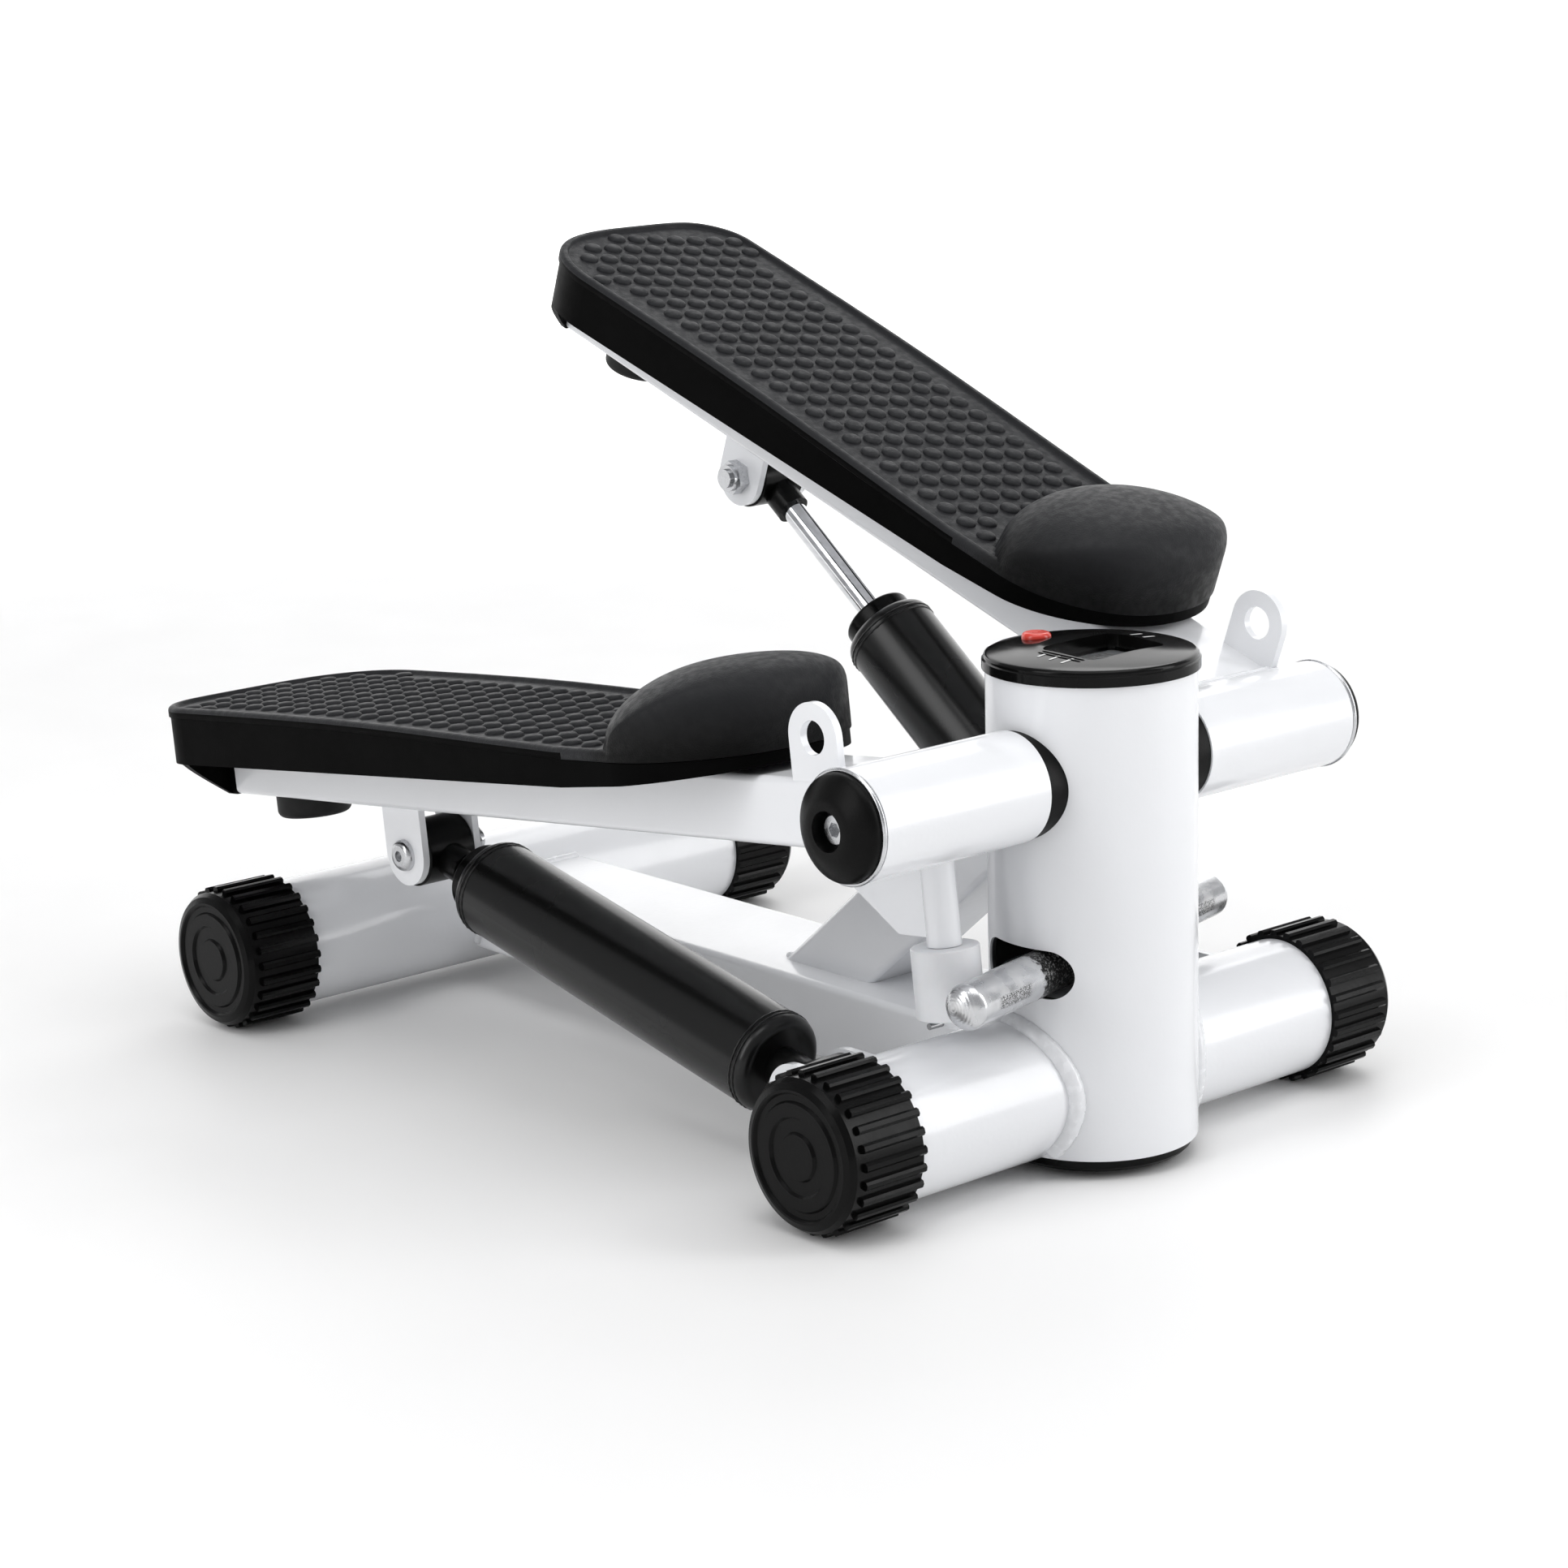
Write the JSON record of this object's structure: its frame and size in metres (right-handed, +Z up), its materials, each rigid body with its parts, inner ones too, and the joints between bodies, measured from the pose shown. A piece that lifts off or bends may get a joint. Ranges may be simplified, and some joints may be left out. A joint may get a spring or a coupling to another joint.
{
  "type": "mini stepper",
  "caption": "Compact twin-pedal stepper: tube floor frame, round column with a counter, linked pedal arms on a cross pivot and a rod damper under each.",
  "frame": {"origin": "bottom centre of the box round the whole machine at rest, on the floor", "axes": "+Z up; the column and its cross tube are at the front (-Y) and the pedals reach back to the rear cross tube (+Y); +X runs along the cross tubes to the raised pedal"},
  "size_m": [0.2956, 0.4462, 0.3109],
  "materials": {
    "white_paint": "glossy white powder coat",
    "black_paint": "satin black paint",
    "black_plastic": "moulded, satin",
    "gloss_black": "moulded, glossy",
    "foot_rubber": "moulded, semi-gloss",
    "bumper_rubber": "moulded, matt",
    "bright_steel": "ground",
    "zinc_steel": "zinc plated",
    "chrome_rod": "polished",
    "window": "clear plastic window",
    "display": "grey display",
    "board": "circuit board",
    "button_red": "moulded, glossy",
    "white_plastic": "moulded nylon",
    "bush_plastic": "bearing plastic",
    "pedal_plastic": "moulded",
    "tread_plastic": "textured, matt"
  },
  "bodies": {
    "base": {"column_brace": "white_paint", "column_floor_plug": "black_plastic", "column_tube": "white_paint", "console_electronics": "board", "console_housing": "gloss_black", "console_lens": "window", "foot_front_left": "foot_rubber", "foot_front_right": "foot_rubber", "foot_rear_left": "foot_rubber", "foot_rear_right": "foot_rubber", "front_crossbar": "white_paint", "lcd_panel": "display", "lower_clevises": "white_paint", "lower_fasteners": "zinc_steel", "pivot_axle": "bright_steel", "pivot_bolts": "zinc_steel", "pivot_end_caps": "gloss_black", "pivot_spacers": "black_plastic", "rear_crossbar": "white_paint", "rocker_pin": "bright_steel", "rocker_plates": "zinc_steel", "spine_beam": "white_paint"},
    "left_arm": {"pivot_tube_left": "white_paint", "pivot_bushes_left": "bush_plastic", "arm_tube_left": "white_paint", "arm_gusset_left": "white_paint", "roller_post_left": "white_paint", "split_pin_left": "zinc_steel", "eyelet_lug_left": "white_paint", "upper_clevis_left": "white_paint", "upper_fasteners_left": "zinc_steel", "arm_bumper_left": "bumper_rubber", "pedal_base_left": "pedal_plastic", "pedal_tread_left": "tread_plastic", "pedal_screws_left": "zinc_steel"},
    "right_arm": {"pivot_tube_right": "white_paint", "pivot_bushes_right": "bush_plastic", "arm_tube_right": "white_paint", "arm_gusset_right": "white_paint", "roller_post_right": "white_paint", "split_pin_right": "zinc_steel", "eyelet_lug_right": "white_paint", "upper_clevis_right": "white_paint", "upper_fasteners_right": "zinc_steel", "arm_bumper_right": "bumper_rubber", "pedal_base_right": "pedal_plastic", "pedal_tread_right": "tread_plastic", "pedal_screws_right": "zinc_steel"},
    "left_roller": {"roller_left": "white_plastic"},
    "right_roller": {"roller_right": "white_plastic"},
    "rocker": {"rocker_bar": "zinc_steel"},
    "left_cylinder": {"damper_cylinder_left": "black_paint", "damper_gland_left": "black_plastic"},
    "right_cylinder": {"damper_cylinder_right": "black_paint", "damper_gland_right": "black_plastic"},
    "left_rod": {"damper_rod_left": "chrome_rod", "damper_rod_eye_left": "black_paint"},
    "right_rod": {"damper_rod_right": "chrome_rod", "damper_rod_eye_right": "black_paint"},
    "button": {"console_button": "button_red"}
  },
  "joints": [
    {"name": "left_step", "type": "hinge", "parent": "base", "child": "left_arm", "pos_m": [0, -0.1844, 0.1438], "axis": [1, 0, 0], "range_deg": [-2, 28.2]},
    {"name": "right_step", "type": "hinge", "parent": "base", "child": "right_arm", "pos_m": [0, -0.1844, 0.1438], "axis": [1, 0, 0], "range_deg": [-28.25, 2.05]},
    {"name": "rocker_swing", "type": "hinge", "parent": "base", "child": "rocker", "pos_m": [0, -0.1839, 0.076], "axis": [0, 0, 1], "range_deg": [-28.66, 2.08]},
    {"name": "left_roller_spin", "type": "hinge", "parent": "left_arm", "child": "left_roller", "pos_m": [-0.067, -0.17781, 0.07695], "axis": [0, 0.1115, 0.9938], "continuous": true},
    {"name": "right_roller_spin", "type": "hinge", "parent": "right_arm", "child": "right_roller", "pos_m": [0.067, -0.14897, 0.08673], "axis": [0, -0.3387, 0.9409], "continuous": true},
    {"name": "left_damper_swing", "type": "hinge", "parent": "base", "child": "left_cylinder", "pos_m": [-0.09, -0.1359, 0.031], "axis": [1, 0, 0], "range_deg": [-2.04, 28.17]},
    {"name": "left_rod_slide", "type": "slide", "parent": "left_cylinder", "child": "left_rod", "axis": [0, 0.9782, 0.2077], "range_m": [-0.00434, 0.05995]},
    {"name": "right_damper_swing", "type": "hinge", "parent": "base", "child": "right_cylinder", "pos_m": [0.09, -0.1359, 0.031], "axis": [1, 0, 0], "range_deg": [-27.54, 2]},
    {"name": "right_rod_slide", "type": "slide", "parent": "right_cylinder", "child": "right_rod", "axis": [0, 0.7897, 0.6135], "range_m": [-0.05987, 0.00434]},
    {"name": "button_press", "type": "slide", "parent": "base", "child": "button", "axis": [0, 0, -1], "range_m": [0, 0.0012], "stiffness_N_per_m": 400, "springref_m": -0.0006}
  ],
  "couplings": [
    {"joint": "right_step", "follows": "left_step", "ratio": -1},
    {"joint": "rocker_swing", "follows": "left_step", "ratio": -1.0147},
    {"joint": "left_damper_swing", "follows": "left_step", "ratio": 0.99714},
    {"joint": "left_rod_slide", "follows": "left_step", "m_per_rad": 0.1216},
    {"joint": "right_damper_swing", "follows": "left_step", "ratio": -0.97479},
    {"joint": "right_rod_slide", "follows": "left_step", "m_per_rad": -0.12144}
  ]
}
